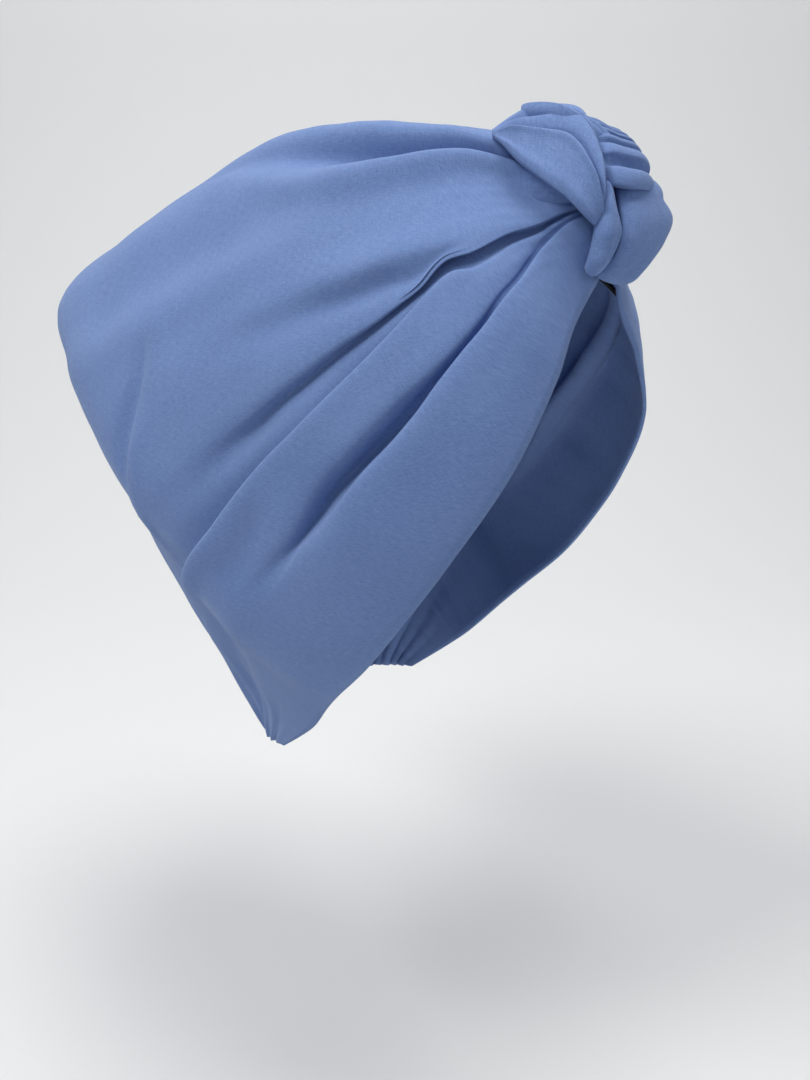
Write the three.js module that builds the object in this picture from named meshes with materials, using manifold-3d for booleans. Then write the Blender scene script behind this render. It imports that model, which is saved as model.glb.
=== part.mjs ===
// Knotted turban cap of one plain woven cloth, in its worn form on a head.
// Millimetres, +Z up, the face side towards -Y, the wearer's right towards -X.
// The origin is the centre of the head that the cap sits on.
import * as THREE from 'three';
import { mergeVertices } from 'three/addons/utils/BufferGeometryUtils.js';
import Module from 'manifold-3d';

const wasm = await Module();
wasm.setup();

// ---- driving dimensions ----
const CROWN_LENGTH = 270;      // front of the hem to the back of the bag, along Y
const CROWN_HALF = 89;         // half of the greatest width, along X
const CROWN_HEIGHT = 265;      // nape hem to the top, along Z
const WALL = 2.0;              // cloth wall of the crown with its turned hem
const FOLD = 6.0;              // height of the deepest fold
const HEM_PULL = 22;           // length over which the hem draws the cloth in to the head
const KNOT_SIZE = 66;          // overall size of the front knot
// half sizes of the head space: across, along and up
const HEAD_RADII = [0.876 * CROWN_HALF, 0.363 * CROWN_LENGTH, 0.46 * CROWN_HEIGHT];
const BROW_WALL = 1.4;         // thickness of the black inner band
const BROW_STAND = 0.6;        // how far the black band stands off the head space
const BROW_WIDTH = 26;         // width of the black inner band
const BROW_NEAR = 0.27 * CROWN_HALF;      // reach of the black band to the wearer's right
const BROW_FAR = 0.30 * CROWN_HALF;       // reach of the black band to the wearer's left
const BROW_PEAK = 0.3735 * CROWN_HEIGHT;  // height of the black band's lower edge at the middle
const BROW_SLOPE = 0.92;       // fall of that edge for each millimetre to the side
const BROW_ROUND = 6;          // rounding of that edge at the middle
const BROW_BELOW = 8;          // how far the black band stays under the head space's top
const CLEAR = 0.3;             // clearance between neighbouring pieces
const SLIVER = 0.05;           // cut edges shorter than this are merged
const SECTIONS = 30;           // sections of the crown mesh between knot and nape
const HEAD_FACES = [32, 20];   // faces round and up the head space
const CORE_FACES = [16, 10];   // faces round and up the knot's core

// ---- colours ----
const CLOTH_BLUE = 0x6c86b8;
const CLOTH_BLUE_KNOT = 0x7089bb;
const BAND_BLACK = 0x16171b;

// ---- tables, all lengths as shares of the named sizes above ----
// Sections from the knot (run 0) to the nape (run 1).
// hem_y, top_y: of CROWN_LENGTH; hem_z, top_z: of CROWN_HEIGHT; hem_x, wide, far_x: of CROWN_HALF.
// far_x is the hem's place on the far side, where it runs further in under the knot.
const SECTION_COLUMNS = ['run', 'hem_y', 'hem_z', 'hem_x', 'top_y', 'top_z', 'wide', 'square', 'far_x'];
const SECTION_ROWS = [
  [0.00, -0.270, 0.372, 0.090, -0.225, 0.500, 0.170, 2.0, 0.055],
  [0.05, -0.264, 0.312, 0.250, -0.084, 0.545, 0.370, 1.9, 0.170],
  [0.10, -0.268, 0.250, 0.387, -0.006, 0.555, 0.570, 2.0, 0.320],
  [0.20, -0.251, 0.141, 0.597, 0.116, 0.563, 0.752, 2.0, 0.575],
  [0.35, -0.191, 0.014, 0.758, 0.290, 0.549, 0.902, 1.95, 0.755],
  [0.50, -0.130, -0.086, 0.828, 0.487, 0.468, 0.988, 2.15, 0.828],
  [0.60, -0.075, -0.163, 0.846, 0.601, 0.402, 1.025, 2.45, 0.846],
  [0.70, -0.008, -0.236, 0.803, 0.728, 0.313, 1.035, 2.7, 0.803],
  [0.78, 0.029, -0.278, 0.755, 0.692, 0.180, 0.915, 2.6, 0.755],
  [0.86, 0.080, -0.339, 0.672, 0.610, 0.000, 0.784, 2.4, 0.672],
  [0.93, 0.123, -0.380, 0.633, 0.462, -0.232, 0.650, 2.35, 0.633],
  [1.00, 0.189, -0.437, 0.555, 0.312, -0.447, 0.540, 2.1, 0.555],
];

// Fold stations from the near hem over the crown to the far hem, as shares of
// the length of each section, one column per station.
const STATIONS = ['hem', 'band', 'band_edge', 'crease_low', 'crease_high', 'roll_low',
  'roll_crest', 'roll_edge', 'tuck_low', 'tuck_high', 'panel_edge', 'panel_ridge',
  'panel', 'panel_back', 'top_ridge', 'top_low', 'top_high', 'middle'];
const STATION_ROWS = [
  [0.00, 0, .070, .135, .150, .158, .170, .190, .208, .214, .220, .230, .250, .285, .315, .340, .365, .400, .5],
  [0.06, 0, .070, .138, .152, .158, .168, .186, .203, .209, .214, .222, .240, .275, .310, .335, .365, .395, .5],
  [0.12, 0, .065, .125, .138, .144, .152, .180, .200, .206, .211, .219, .240, .285, .325, .352, .372, .400, .5],
  [0.20, 0, .060, .110, .122, .130, .140, .168, .190, .200, .205, .211, .236, .290, .335, .364, .386, .425, .5],
  [0.30, 0, .055, .102, .114, .126, .136, .160, .178, .188, .193, .201, .236, .300, .350, .385, .410, .445, .5],
  [0.40, 0, .050, .093, .106, .122, .132, .150, .164, .174, .188, .198, .234, .305, .360, .405, .432, .460, .5],
  [0.50, 0, .045, .084, .098, .114, .124, .140, .152, .162, .184, .196, .232, .305, .365, .412, .440, .466, .5],
  [0.60, 0, .040, .076, .090, .106, .116, .131, .143, .153, .178, .192, .226, .300, .360, .410, .440, .468, .5],
  [0.70, 0, .038, .074, .088, .102, .112, .128, .140, .150, .174, .188, .220, .290, .350, .405, .438, .468, .5],
  [0.80, 0, .040, .078, .092, .106, .116, .132, .146, .156, .178, .194, .224, .290, .350, .402, .436, .468, .5],
  [0.90, 0, .046, .090, .104, .118, .130, .148, .164, .174, .196, .214, .244, .300, .355, .404, .438, .470, .5],
  [1.00, 0, .055, .105, .120, .136, .150, .170, .190, .200, .222, .242, .270, .318, .366, .410, .442, .472, .5],
];
// Height of each station above the smooth form, as a share of FOLD.
const HEIGHT_ROWS = [
  [0.00, 0, .40, .40, -.10, -.10, .20, .25, .20, -.10, -.10, .20, .25, .10, .05, .20, -.10, .20, .05],
  [0.06, 0, .85, .55, -.35, -.35, .25, .50, .35, -.25, -.25, .35, .45, .10, .05, .35, -.40, .35, -.10],
  [0.12, 0, .75, .55, -.50, -.50, .25, .58, .45, -.30, -.30, .42, .52, .10, .05, .42, -.65, .35, -.10],
  [0.20, 0, .40, .45, -.75, -.75, .20, .65, .52, -.45, -.45, .50, .52, .10, .05, .42, -.80, .30, -.10],
  [0.30, 0, .15, .42, -.92, -.90, .15, .66, .58, -.65, -.65, .50, .50, .05, .05, .35, -.60, .25, -.05],
  [0.40, 0, .15, .35, -.98, -.92, .15, .66, .66, -.85, -.80, .42, .45, .00, .05, .25, -.35, .15, -.05],
  [0.50, 0, .12, .25, -.80, -.75, .15, .60, .66, -.92, -.75, .28, .35, .00, .00, .15, -.20, .10, .00],
  [0.60, 0, .10, .15, -.35, -.30, .15, .50, .66, -.92, -.55, .10, .25, .00, .00, .08, -.10, .05, .00],
  [0.70, 0, .06, .08, -.15, -.10, .12, .48, .66, -.85, -.35, .00, .18, .00, .00, .05, -.10, .05, .00],
  [0.80, 0, .04, .06, -.15, -.10, .10, .42, .60, -.70, -.35, .05, .20, -.15, .10, -.15, .10, -.10, .10],
  [0.90, 0, .02, .06, -.25, -.15, .12, .34, .45, -.50, -.30, .15, .35, -.40, .30, -.40, .30, -.30, .30],
  [1.00, 0, .00, .06, -.15, -.10, .10, .20, .25, -.25, -.20, .15, .30, -.35, .30, -.35, .30, -.30, .25],
];

const KNOT_CENTRE = [0, -0.215 * CROWN_LENGTH, 0.475 * CROWN_HEIGHT];
// Edge tables of the knot's bands, from KNOT_CENTRE, as shares of KNOT_SIZE: one edge,
// the other edge, how far the face bulges out and how deep the band goes inward.
const BAND_COLUMNS = ['edge_x', 'edge_y', 'edge_z', 'other_x', 'other_y', 'other_z', 'out', 'deep'];
const LOOP_ROWS = [
  [-0.221, 0.418, 0.279, -0.188, 0.440, 0.302, 0.015, 0.045],
  [-0.281, 0.307, 0.226, -0.046, 0.393, 0.381, 0.045, 0.091],
  [-0.333, 0.165, 0.139, 0.062, 0.323, 0.431, 0.085, 0.136],
  [-0.348, -0.012, 0.035, 0.096, 0.101, 0.422, 0.095, 0.152],
  [-0.333, -0.090, -0.017, 0.006, -0.047, 0.325, 0.090, 0.152],
  [-0.324, -0.164, -0.076, -0.085, -0.161, 0.188, 0.075, 0.136],
  [-0.290, -0.215, -0.131, -0.151, -0.221, 0.062, 0.055, 0.106],
  [-0.252, -0.231, -0.159, -0.218, -0.232, -0.077, 0.030, 0.061],
  [-0.236, -0.230, -0.168, -0.231, -0.231, -0.158, 0.008, 0.023],
];
const PLEATS_ROWS = [
  [-0.113, -0.205, 0.027, 0.130, 0.130, 0.400, 0.040, 0.076],
  [-0.100, -0.268, 0.027, 0.205, 0.065, 0.368, 0.055, 0.106],
  [-0.042, -0.318, 0.020, 0.285, 0.030, 0.332, 0.055, 0.130],
  [0.068, -0.341, 0.010, 0.375, 0.000, 0.305, 0.055, 0.152],
  [0.190, -0.315, -0.010, 0.440, 0.020, 0.240, 0.055, 0.136],
  [0.290, -0.240, -0.040, 0.460, 0.070, 0.170, 0.050, 0.121],
  [0.350, -0.150, -0.090, 0.460, 0.110, 0.100, 0.045, 0.076],
];
const TAIL_ROWS = [
  [0.068, -0.146, 0.060, 0.465, -0.191, 0.050, 0.045, 0.076],
  [-0.032, -0.233, -0.003, 0.421, -0.277, -0.017, 0.061, 0.106],
  [-0.073, -0.275, -0.080, 0.405, -0.290, -0.078, 0.076, 0.121],
  [-0.099, -0.305, -0.150, 0.445, -0.337, -0.161, 0.076, 0.121],
  [-0.119, -0.317, -0.221, 0.372, -0.336, -0.244, 0.076, 0.121],
  [-0.133, -0.305, -0.286, 0.261, -0.334, -0.323, 0.076, 0.121],
  [-0.170, -0.285, -0.343, 0.151, -0.331, -0.400, 0.061, 0.106],
  [-0.192, -0.250, -0.387, 0.041, -0.319, -0.461, 0.045, 0.076],
  [-0.200, -0.222, -0.407, -0.076, -0.256, -0.448, 0.023, 0.045],
];
const TUCK_ROWS = [
  [-0.043, -0.134, 0.047, -0.009, -0.175, 0.061, 0.030, 0.061],
  [-0.136, -0.196, -0.002, -0.074, -0.225, 0.005, 0.045, 0.076],
  [-0.206, -0.222, -0.078, -0.114, -0.271, -0.079, 0.053, 0.091],
  [-0.244, -0.235, -0.147, -0.119, -0.303, -0.150, 0.053, 0.091],
  [-0.265, -0.241, -0.210, -0.120, -0.316, -0.199, 0.053, 0.091],
  [-0.271, -0.236, -0.267, -0.144, -0.309, -0.271, 0.045, 0.091],
  [-0.282, -0.229, -0.331, -0.172, -0.282, -0.343, 0.045, 0.076],
  [-0.274, -0.217, -0.387, -0.204, -0.240, -0.398, 0.030, 0.061],
  [-0.264, -0.212, -0.402, -0.242, -0.219, -0.409, 0.015, 0.030],
];
// The core's centre from KNOT_CENTRE and its half sizes, as shares of KNOT_SIZE.
const CORE_SHIFT = [0.03, 0.10, 0.03];
const CORE_RADII = [0.30, 0.26, 0.30];
// Layers and pleats across each band: where across it, and the height there as a share of FOLD.
const LOOP_PROFILE = [[0, 0], [0.48, 0.12], [0.58, 0.22], [0.64, -0.22], [0.78, 0.05], [0.84, -0.20], [1, 0]];
const PLEATS_PROFILE = [[0, 0], [0.10, 0.20], [0.22, -0.30], [0.32, 0.15], [0.44, 0.18], [0.52, -0.18],
  [0.62, 0.15], [0.70, -0.15], [0.80, 0.14], [0.87, -0.12], [0.94, 0.08], [1, 0]];
const TAIL_PROFILE = [[0, 0], [0.15, 0.15], [0.45, 0], [0.75, 0.15], [1, 0]];
const TUCK_PROFILE = [[0, 0], [0.4, 0.1], [0.7, -0.05], [1, 0]];

// ---- helpers ----
const clamp = (v, lo, hi) => Math.min(hi, Math.max(lo, v));

// Smooth value of a table column at a given run, through its rows.
function column(rows, index, run) {
  const r = clamp(run, rows[0][0], rows[rows.length - 1][0]);
  let i = 0;
  while (i < rows.length - 2 && r > rows[i + 1][0]) i += 1;
  const slope = (k) => {
    const lo = Math.max(0, k - 1);
    const hi = Math.min(rows.length - 1, k + 1);
    return (rows[hi][index] - rows[lo][index]) / (rows[hi][0] - rows[lo][0]);
  };
  const h = rows[i + 1][0] - rows[i][0];
  const t = (r - rows[i][0]) / h;
  const t2 = t * t;
  const t3 = t2 * t;
  return (2 * t3 - 3 * t2 + 1) * rows[i][index] + (t3 - 2 * t2 + t) * h * slope(i)
    + (3 * t2 - 2 * t3) * rows[i + 1][index] + (t3 - t2) * h * slope(i + 1);
}

// Smooth form of one section: a point for each angle share 0 (near hem) to 1 (far hem).
function sectionPoint(run, turn) {
  const hemY = column(SECTION_ROWS, 1, run) * CROWN_LENGTH;
  const hemZ = column(SECTION_ROWS, 2, run) * CROWN_HEIGHT;
  const hemX = column(SECTION_ROWS, turn > 0.5 ? 8 : 3, run) * CROWN_HALF;
  const topY = column(SECTION_ROWS, 4, run) * CROWN_LENGTH;
  const topZ = column(SECTION_ROWS, 5, run) * CROWN_HEIGHT;
  const wide = column(SECTION_ROWS, 6, run) * CROWN_HALF;
  const power = 2 / column(SECTION_ROWS, 7, run);
  const c = Math.cos(Math.PI * turn);
  const lift = Math.abs(Math.sin(Math.PI * turn)) ** power;
  const side = -Math.sign(c) * Math.abs(c) ** power;
  const reach = Math.hypot(topY - hemY, topZ - hemZ) * lift;
  const pull = 1 - (1 - hemX / wide) * Math.exp(-reach / HEM_PULL);
  return [wide * side * pull, hemY + (topY - hemY) * lift, hemZ + (topZ - hemZ) * lift];
}

// One section as a polyline with its running length.
function sectionLine(run) {
  const count = 320;
  const points = [];
  const length = [0];
  for (let i = 0; i <= count; i += 1) {
    points.push(sectionPoint(run, i / count));
    if (i > 0) {
      const a = points[i - 1];
      const b = points[i];
      length.push(length[i - 1] + Math.hypot(a[0] - b[0], a[1] - b[1], a[2] - b[2]));
    }
  }
  return { points, length, total: length[count] };
}

function along(line, share) {
  const goal = clamp(share, 0, 1) * line.total;
  let lo = 0;
  let hi = line.length.length - 1;
  while (hi - lo > 1) {
    const mid = (lo + hi) >> 1;
    if (line.length[mid] > goal) hi = mid;
    else lo = mid;
  }
  const t = (goal - line.length[lo]) / Math.max(1e-9, line.length[hi] - line.length[lo]);
  return line.points[lo].map((v, k) => v + (line.points[hi][k] - v) * t);
}

// Shares and heights of all mesh columns of one section, near hem to far hem.
function stationsAt(run) {
  const half = STATIONS.map((name, i) => [
    column(STATION_ROWS, i + 1, run),
    column(HEIGHT_ROWS, i + 1, run) * FOLD,
  ]);
  const full = half.concat(half.slice(0, -1).reverse().map(([at, rise]) => [1 - at, rise]));
  return full;
}

// Geometry of a grid shell: outer and inner grids joined along all four sides.
function shell(outer, inner) {
  const rows = outer.length;
  const cols = outer[0].length;
  const vertices = [];
  outer.forEach((row) => row.forEach((p) => vertices.push(...p)));
  inner.forEach((row) => row.forEach((p) => vertices.push(...p)));
  const o = (i, j) => i * cols + j;
  const n = (i, j) => rows * cols + i * cols + j;
  const faces = [];
  for (let i = 0; i + 1 < rows; i += 1) {
    for (let j = 0; j + 1 < cols; j += 1) {
      faces.push(o(i, j), o(i + 1, j), o(i + 1, j + 1), o(i, j), o(i + 1, j + 1), o(i, j + 1));
      faces.push(n(i, j), n(i + 1, j + 1), n(i + 1, j), n(i, j), n(i, j + 1), n(i + 1, j + 1));
    }
  }
  const rim = (a, b, c, d) => faces.push(a, b, c, a, c, d);
  for (let j = 0; j + 1 < cols; j += 1) {
    rim(o(0, j), o(0, j + 1), n(0, j + 1), n(0, j));
    rim(o(rows - 1, j + 1), o(rows - 1, j), n(rows - 1, j), n(rows - 1, j + 1));
  }
  for (let i = 0; i + 1 < rows; i += 1) {
    rim(o(i + 1, 0), o(i, 0), n(i, 0), n(i + 1, 0));
    rim(o(i, cols - 1), o(i + 1, cols - 1), n(i + 1, cols - 1), n(i, cols - 1));
  }
  return orient(vertices, faces);
}

// Turns all faces over if the volume comes out negative.
function orient(vertices, faces) {
  let volume = 0;
  for (let k = 0; k < faces.length; k += 3) {
    const [a, b, c] = [faces[k] * 3, faces[k + 1] * 3, faces[k + 2] * 3];
    volume += vertices[a] * (vertices[b + 1] * vertices[c + 2] - vertices[b + 2] * vertices[c + 1])
      + vertices[a + 1] * (vertices[b + 2] * vertices[c] - vertices[b] * vertices[c + 2])
      + vertices[a + 2] * (vertices[b] * vertices[c + 1] - vertices[b + 1] * vertices[c]);
  }
  if (volume < 0) {
    for (let k = 0; k < faces.length; k += 3) [faces[k], faces[k + 1]] = [faces[k + 1], faces[k]];
  }
  return { vertices, faces };
}

function toGeometry({ vertices, faces }) {
  const geometry = new THREE.BufferGeometry();
  geometry.setAttribute('position', new THREE.Float32BufferAttribute(vertices, 3));
  geometry.setIndex(faces);
  geometry.computeVertexNormals();
  return geometry;
}

function toSolid({ vertices, faces }, reach = 1e-5) {
  const bare = new THREE.BufferGeometry();
  bare.setAttribute('position', new THREE.Float32BufferAttribute(vertices, 3));
  bare.setIndex(faces);
  const merged = mergeVertices(bare, reach);
  return new wasm.Manifold(new wasm.Mesh({
    numProp: 3,
    vertProperties: Float32Array.from(merged.attributes.position.array),
    triVerts: Uint32Array.from(merged.index.array),
  }));
}

function fromSolid(solid) {
  const mesh = solid.getMesh();
  return { vertices: Array.from(mesh.vertProperties), faces: Array.from(mesh.triVerts) };
}

// True where each edge of a body, with close points taken as one, has just two faces.
function clean({ vertices, faces }) {
  const name = (i) => [0, 1, 2].map((k) => Math.round(vertices[i * 3 + k] * 2000)).join();
  const count = new Map();
  for (let k = 0; k < faces.length; k += 3) {
    const corners = [name(faces[k]), name(faces[k + 1]), name(faces[k + 2])];
    corners.forEach((corner, i) => {
      const key = [corner, corners[(i + 1) % 3]].sort().join(' ');
      count.set(key, (count.get(key) || 0) + 1);
    });
  }
  return [...count.values()].every((value) => value === 2);
}

// A cut body with its shortest edges merged, so that no sliver or pinched edge is left.
function welded(solid) {
  for (const reach of [0.01, 0.02, 0.035, 0.05, 0.08]) {
    const { vertices, faces } = fromSolid(solid.simplify(SLIVER));
    const bare = new THREE.BufferGeometry();
    bare.setAttribute('position', new THREE.Float32BufferAttribute(vertices, 3));
    bare.setIndex(faces);
    const merged = mergeVertices(bare, reach);
    const index = merged.index.array;
    const kept = [];
    for (let k = 0; k < index.length; k += 3) {
      const [a, b, c] = [index[k], index[k + 1], index[k + 2]];
      if (a !== b && b !== c && a !== c) kept.push(a, b, c);
    }
    const points = Array.from(merged.attributes.position.array);
    const body = { vertices: points, faces: kept };
    if (clean(body)) return largest(toSolid(body));
  }
  return solid;
}

// The body with the greatest volume of a cut result.
function largest(solid) {
  const bodies = solid.decompose();
  return bodies.reduce((a, b) => (b.volume() > a.volume() ? b : a));
}

// The main body with close corners merged and any sealed pocket filled.
function settled(solid) {
  return fromSolid(largest(toSolid(fromSolid(solid), 1e-3)));
}

// ---- crown ----
const cross = (a, b) => [a[1] * b[2] - a[2] * b[1], a[2] * b[0] - a[0] * b[2], a[0] * b[1] - a[1] * b[0]];
const unit = (a) => {
  const l = Math.hypot(...a);
  return a.map((v) => v / l);
};

// Runs of the mesh sections, closer together near the knot and the nape.
const RUNS = Array.from({ length: SECTIONS }, (_, i) => {
  const t = i / (SECTIONS - 1);
  return t + 0.055 * Math.sin(2 * Math.PI * t) * -1;
});

function crownShell() {
  const lines = RUNS.map((run) => sectionLine(run));
  const ahead = RUNS.map((run) => sectionLine(clamp(run + 0.01, 0, 1)));
  const behind = RUNS.map((run) => sectionLine(clamp(run - 0.01, 0, 1)));
  const outer = [];
  const inner = [];
  RUNS.forEach((run, i) => {
    const full = stationsAt(run);
    const outerRow = [];
    const innerRow = [];
    const place = (at, rise) => {
      const p = along(lines[i], at);
      const across = along(lines[i], at + 0.004).map((v, k) => v - along(lines[i], at - 0.004)[k]);
      const forth = along(ahead[i], at).map((v, k) => v - along(behind[i], at)[k]);
      const normal = unit(cross(across, forth)).map((v) => -v);
      outerRow.push(p.map((v, k) => v + normal[k] * rise));
      innerRow.push(p.map((v, k) => v + normal[k] * (rise - WALL)));
    };
    full.forEach(([at, rise], j) => {
      place(at, rise);
      const next = full[j + 1];
      if (!next) return;
      const wideStep = [0, 1, 11, 12, 13].includes(Math.min(j, full.length - 2 - j));
      if (wideStep) place((at + next[0]) / 2, (rise + next[1]) / 2);
    });
    outer.push(outerRow);
    inner.push(innerRow);
  });
  return shell(outer, inner);
}

// ---- knot ----
function tableRow(rows, at) {
  const keyed = rows.map((row, i) => [i / (rows.length - 1), ...row]);
  return rows[0].map((value, k) => column(keyed, k + 1, at));
}

function profileAt(profile, at) {
  return column(profile, 1, at);
}

// A cloth band between two edge curves, rounded out on its face and filled behind.
function band(rows, profile, mirror) {
  const steps = (rows.length - 1) * 2;
  const across = 12;
  const behind = 4;
  const rings = [];
  const side = mirror ? -1 : 1;
  for (let i = 0; i <= steps; i += 1) {
    const at = i / steps;
    const row = tableRow(rows, at);
    const next = tableRow(rows, Math.min(1, at + 0.02));
    const last = tableRow(rows, Math.max(0, at - 0.02));
    const put = (x, y, z) => [
      side * x * KNOT_SIZE + KNOT_CENTRE[0],
      y * KNOT_SIZE + KNOT_CENTRE[1],
      z * KNOT_SIZE + KNOT_CENTRE[2],
    ];
    const edge = put(row[0], row[1], row[2]);
    const other = put(row[3], row[4], row[5]);
    const mid = (r) => put((r[0] + r[3]) / 2, (r[1] + r[4]) / 2, (r[2] + r[5]) / 2);
    const forth = mid(next).map((v, k) => v - mid(last)[k]);
    const span = other.map((v, k) => v - edge[k]);
    let normal = unit(cross(span, forth));
    const away = mid(row).map((v, k) => v - KNOT_CENTRE[k]);
    if (normal[0] * away[0] + normal[1] * away[1] + normal[2] * away[2] < 0) {
      normal = normal.map((v) => -v);
    }
    const fade = Math.min(1, 6 * Math.min(at, 1 - at));
    const ring = [];
    for (let q = 0; q <= across; q += 1) {
      const t = q / across;
      const rise = row[6] * KNOT_SIZE * Math.sin(Math.PI * t) ** 0.7
        + profileAt(profile, t) * FOLD * fade;
      ring.push(edge.map((v, k) => v + span[k] * t + normal[k] * rise));
    }
    for (let q = 1; q < behind; q += 1) {
      const t = 1 - q / behind;
      const sink = row[7] * KNOT_SIZE * Math.sin(Math.PI * t) ** 0.7;
      ring.push(edge.map((v, k) => v + span[k] * t - normal[k] * sink));
    }
    rings.push(ring);
  }
  const size = rings[0].length;
  const vertices = rings.flat(2);
  const faces = [];
  for (let i = 0; i < steps; i += 1) {
    for (let j = 0; j < size; j += 1) {
      const k = (j + 1) % size;
      faces.push(i * size + j, (i + 1) * size + j, (i + 1) * size + k);
      faces.push(i * size + j, (i + 1) * size + k, i * size + k);
    }
  }
  const cap = (ring, start, flip) => {
    const centre = [0, 1, 2].map((k) => ring.reduce((sum, p) => sum + p[k], 0) / size);
    const index = vertices.length / 3;
    vertices.push(...centre);
    for (let j = 0; j < size; j += 1) {
      const k = (j + 1) % size;
      if (flip) faces.push(index, start + k, start + j);
      else faces.push(index, start + j, start + k);
    }
  };
  cap(rings[0], 0, false);
  cap(rings[steps], steps * size, true);
  return orient(vertices, faces);
}

// The same body with its surface moved out by a distance.
function grown({ vertices, faces }, distance) {
  const normals = new Float64Array(vertices.length);
  for (let f = 0; f < faces.length; f += 3) {
    const p = [0, 1, 2].map((k) => vertices.slice(faces[f + k] * 3, faces[f + k] * 3 + 3));
    const n = cross(p[1].map((v, k) => v - p[0][k]), p[2].map((v, k) => v - p[0][k]));
    for (let k = 0; k < 3; k += 1) {
      for (let c = 0; c < 3; c += 1) normals[faces[f + k] * 3 + c] += n[c];
    }
  }
  const moved = vertices.slice();
  for (let i = 0; i < vertices.length; i += 3) {
    const l = Math.hypot(normals[i], normals[i + 1], normals[i + 2]) || 1;
    for (let c = 0; c < 3; c += 1) moved[i + c] += (normals[i + c] / l) * distance;
  }
  return { vertices: moved, faces };
}

function ball(centre, radii, across, up) {
  const geometry = new THREE.SphereGeometry(1, across, up);
  geometry.deleteAttribute('normal');
  geometry.deleteAttribute('uv');
  geometry.scale(...radii);
  geometry.translate(...centre);
  const merged = mergeVertices(geometry, 1e-4);
  return orient(Array.from(merged.attributes.position.array), Array.from(merged.index.array));
}

const crown = crownShell();
const head = toSolid(ball([0, 0, 0], HEAD_RADII, ...HEAD_FACES));
const seated = [crown];
let taken = [1.5, 0.5, 0].reduce((all, k) => all.add(toSolid(grown(crown, k * CLEAR))), head);

// Cuts a band clear of all pieces before it, and keeps its main body. A wide cut also clears
// the narrow spaces between those pieces, so that no thin flap is left in them.
function seat(data, wide = false) {
  if (wide) {
    seated.forEach((piece) => [2.6, 1.8].forEach((k) => {
      taken = taken.add(toSolid(grown(piece, k * CLEAR)));
    }));
  }
  const result = settled(welded(largest(toSolid(data).subtract(taken))));
  seated.push(data);
  [1, 0.5, 0].forEach((k) => {
    taken = taken.add(toSolid(grown(data, k * CLEAR)));
  });
  return result;
}

// ---- black inner band across the brow, under the knot ----
function browPoint(x, z, stand) {
  const [rx, ry, rz] = HEAD_RADII.map((r) => r + stand);
  return [x, -ry * Math.sqrt(Math.max(0, 1 - (x / rx) ** 2 - (z / rz) ** 2)), z];
}

function browShell() {
  const columns = 20;
  const rows = 5;
  const outer = [];
  const inner = [];
  for (let i = 0; i <= columns; i += 1) {
    const x = -BROW_NEAR + ((BROW_NEAR + BROW_FAR) * i) / columns;
    const low = BROW_PEAK - BROW_SLOPE * (Math.hypot(x, BROW_ROUND) - BROW_ROUND);
    const outerRow = [];
    const innerRow = [];
    for (let j = 0; j <= rows; j += 1) {
      const z = Math.min(low + (BROW_WIDTH * j) / rows, HEAD_RADII[2] - BROW_BELOW * (1 - (0.5 * j) / rows));
      outerRow.push(browPoint(x, z, BROW_STAND + BROW_WALL));
      innerRow.push(browPoint(x, z, BROW_STAND));
    }
    outer.push(outerRow);
    inner.push(innerRow);
  }
  return shell(outer, inner);
}

const brow = seat(browShell());
const loopNear = seat(band(LOOP_ROWS, LOOP_PROFILE, false));
const pleats = seat(band(PLEATS_ROWS, PLEATS_PROFILE, false));
const tuck = seat(band(TUCK_ROWS, TUCK_PROFILE, false));
const tail = seat(band(TAIL_ROWS, TAIL_PROFILE, false));
const loopFar = seat(band(LOOP_ROWS, LOOP_PROFILE, true), true);
const core = seat(ball(
  KNOT_CENTRE.map((v, k) => v + CORE_SHIFT[k] * KNOT_SIZE),
  CORE_RADII.map((v) => v * KNOT_SIZE),
  ...CORE_FACES,
), true);

const group = new THREE.Group();
function addPiece(name, data, color, roughness) {
  const mesh = new THREE.Mesh(
    toGeometry(data),
    new THREE.MeshStandardMaterial({ color, roughness, metalness: 0, flatShading: true }),
  );
  mesh.name = name;
  group.add(mesh);
  return mesh;
}
addPiece('crown', crown, CLOTH_BLUE, 0.9);
addPiece('knot_loop', loopNear, CLOTH_BLUE_KNOT, 0.9);
addPiece('knot_pleats', pleats, CLOTH_BLUE_KNOT, 0.9);
addPiece('knot_tuck', tuck, CLOTH_BLUE_KNOT, 0.9);
addPiece('knot_tail', tail, CLOTH_BLUE_KNOT, 0.9);
addPiece('knot_loop_far', loopFar, CLOTH_BLUE_KNOT, 0.9);
addPiece('knot_core', core, CLOTH_BLUE_KNOT, 0.9);
addPiece('brow_band', brow, BAND_BLACK, 0.8);

export default group;
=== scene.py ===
import math

import bpy
import numpy as np
from mathutils import Matrix, Vector


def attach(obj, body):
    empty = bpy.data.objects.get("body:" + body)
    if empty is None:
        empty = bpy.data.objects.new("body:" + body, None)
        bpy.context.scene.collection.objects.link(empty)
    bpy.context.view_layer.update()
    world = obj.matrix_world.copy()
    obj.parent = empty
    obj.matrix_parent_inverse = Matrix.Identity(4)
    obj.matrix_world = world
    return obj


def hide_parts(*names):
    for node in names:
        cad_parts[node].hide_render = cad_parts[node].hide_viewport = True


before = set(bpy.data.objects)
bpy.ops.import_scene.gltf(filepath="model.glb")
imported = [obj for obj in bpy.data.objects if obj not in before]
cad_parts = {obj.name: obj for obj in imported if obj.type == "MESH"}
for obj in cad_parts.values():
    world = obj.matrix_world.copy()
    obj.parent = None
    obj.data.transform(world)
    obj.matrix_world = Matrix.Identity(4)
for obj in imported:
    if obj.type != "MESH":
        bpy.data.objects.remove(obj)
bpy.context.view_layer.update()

# Sizes, in millimetres until the meshes are made
CROWN_LENGTH = 270.0
CROWN_HALF = 89.0
CROWN_HEIGHT = 265.0
WALL = 1.6
FOLD = 6.0
HEM_PULL = 22.0
KNOT_SIZE = 66.0
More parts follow.
